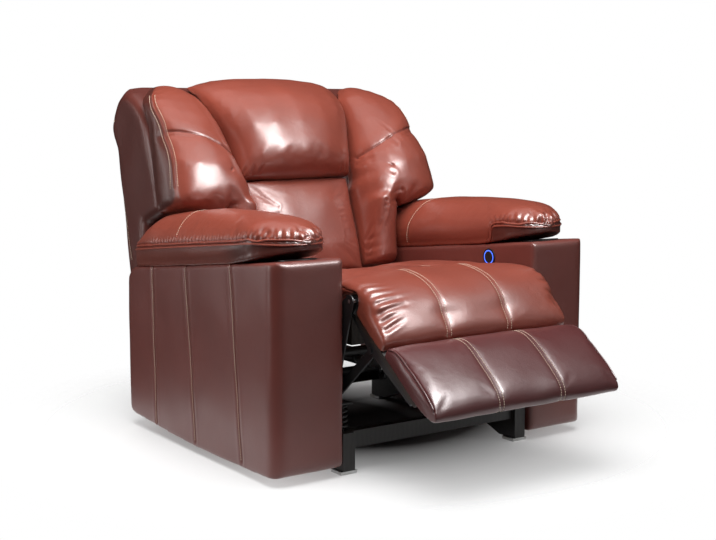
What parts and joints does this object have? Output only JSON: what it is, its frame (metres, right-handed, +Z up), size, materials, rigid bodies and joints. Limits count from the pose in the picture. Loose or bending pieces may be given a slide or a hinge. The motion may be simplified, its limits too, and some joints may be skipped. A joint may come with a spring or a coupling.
{
  "type": "cinema recliner seat",
  "caption": "Single powered rocker recliner with a lifting legrest, reclining bolstered back, padded arms, cup holders and a lit switch.",
  "frame": {"origin": "on the floor, at the middle of the chair's width and of its rocker base's length", "axes": "+Z up, -Y the way the sitter faces, +X the sitter's left"},
  "size_m": [1.036, 1.4061, 1.0041],
  "materials": {
    "leather": "glossy chestnut leather",
    "panel_leather": "glossy dark brown leather",
    "black_wood": "black painted wood",
    "dark_wood": "dark stained wood",
    "zinc": "zinc plated steel",
    "nylon": "natural nylon",
    "black_plastic": "black plastic",
    "light_ring": "lit blue plastic",
    "black_steel": "black powder coat"
  },
  "bodies": {
    "base": {"base_rail_left": "black_wood", "base_rail_right": "black_wood", "base_cross_rails": "black_wood", "foot_glides": "zinc", "wear_strips": "nylon", "base_bolts": "zinc", "rocker_springs": "black_steel"},
    "legrest": {"legrest_board": "dark_wood", "legrest_bracket_left": "black_steel", "legrest_bracket_right": "black_steel", "calf_pad": "leather", "foot_pad": "leather"},
    "backrest": {"back_shell": "panel_leather", "back_uprights": "dark_wood", "back_rail_top": "dark_wood", "back_rail_bottom": "dark_wood", "back_bracket_left": "black_steel", "back_bracket_right": "black_steel", "back_lever": "black_steel", "headrest_cushion": "leather", "lumbar_cushion": "leather", "bolster_left": "leather", "bolster_right": "leather"},
    "drive": {"drive_tube": "black_steel", "crank_left": "black_steel", "crank_right": "black_steel", "drive_lever": "black_steel"},
    "push_rods": {"push_rod_left": "black_steel", "push_rod_right": "black_steel"},
    "legrest_rod": {"legrest_actuator_rod": "zinc"},
    "recline_rod": {"recline_actuator_rod": "zinc"},
    "button_open": {"switch_button_open": "black_plastic"},
    "button_close": {"switch_button_close": "black_plastic"},
    "seat_unit": {"side_plate_left": "black_steel", "side_plate_right": "black_steel", "rocker_cam_left": "black_wood", "rocker_cam_right": "black_wood", "cross_tubes": "black_steel", "pivot_pins": "zinc", "seat_rail_left": "dark_wood", "seat_rail_right": "dark_wood", "seat_rail_front": "dark_wood", "seat_rail_rear": "dark_wood", "seat_springs": "zinc", "seat_cushion": "leather", "arm_frame_left": "dark_wood", "arm_frame_right": "dark_wood", "arm_cover_left": "panel_leather", "arm_cover_right": "panel_leather", "arm_pad_left": "leather", "arm_pad_right": "leather", "cup_holder_left": "black_plastic", "cup_holder_right": "black_plastic", "switch_bezel": "black_plastic", "switch_light_ring": "light_ring", "legrest_actuator": "black_plastic", "legrest_motor": "zinc", "recline_actuator": "black_plastic", "recline_motor": "zinc", "control_box": "black_plastic"}
  },
  "joints": [
    {"name": "rock", "type": "hinge", "parent": "base", "child": "seat_unit", "pos_m": [0, 0, 0.1057], "axis": [-1, 0, 0], "range_deg": [-3, 4], "stiffness_Nm_per_rad": 1200, "springref_deg": -2.69, "deforming": ["rocker_springs"]},
    {"name": "recline", "type": "hinge", "parent": "seat_unit", "child": "backrest", "pos_m": [0, 0.265, 0.33], "axis": [-1, 0, 0], "range_deg": [0, 30]},
    {"name": "legrest_lift", "type": "hinge", "parent": "seat_unit", "child": "legrest", "pos_m": [0, -0.373, 0.444], "axis": [-1, 0, 0], "range_deg": [-53, 37]},
    {"name": "drive_turn", "type": "hinge", "parent": "seat_unit", "child": "drive", "pos_m": [0, -0.17297, 0.274], "axis": [-1, 0, 0], "range_deg": [-53.5, 37.5]},
    {"name": "push_rod_swing", "type": "hinge", "parent": "drive", "child": "push_rods", "pos_m": [0, -0.2346, 0.15954], "axis": [-1, 0, 0], "range_deg": [-37.5, 53.5]},
    {"name": "legrest_rod_slide", "type": "slide", "parent": "seat_unit", "child": "legrest_rod", "axis": [0, -1, 0], "range_m": [-0.0504, 0.0353]},
    {"name": "recline_rod_slide", "type": "slide", "parent": "seat_unit", "child": "recline_rod", "axis": [0, -1, 0], "range_m": [-0.0003, 0.075]},
    {"name": "open_button_press", "type": "slide", "parent": "seat_unit", "child": "button_open", "axis": [1, 0, 0], "range_m": [0, 0.0015], "stiffness_N_per_m": 900},
    {"name": "close_button_press", "type": "slide", "parent": "seat_unit", "child": "button_close", "axis": [1, 0, 0], "range_m": [0, 0.0015], "stiffness_N_per_m": 900}
  ],
  "couplings": [
    {"joint": "drive_turn", "follows": "legrest_lift", "ratio": 1},
    {"joint": "push_rod_swing", "follows": "legrest_lift", "ratio": -1},
    {"joint": "legrest_rod_slide", "follows": "legrest_lift", "m_per_rad": 0.054},
    {"joint": "recline_rod_slide", "follows": "recline", "m_per_rad": 0.14245}
  ]
}
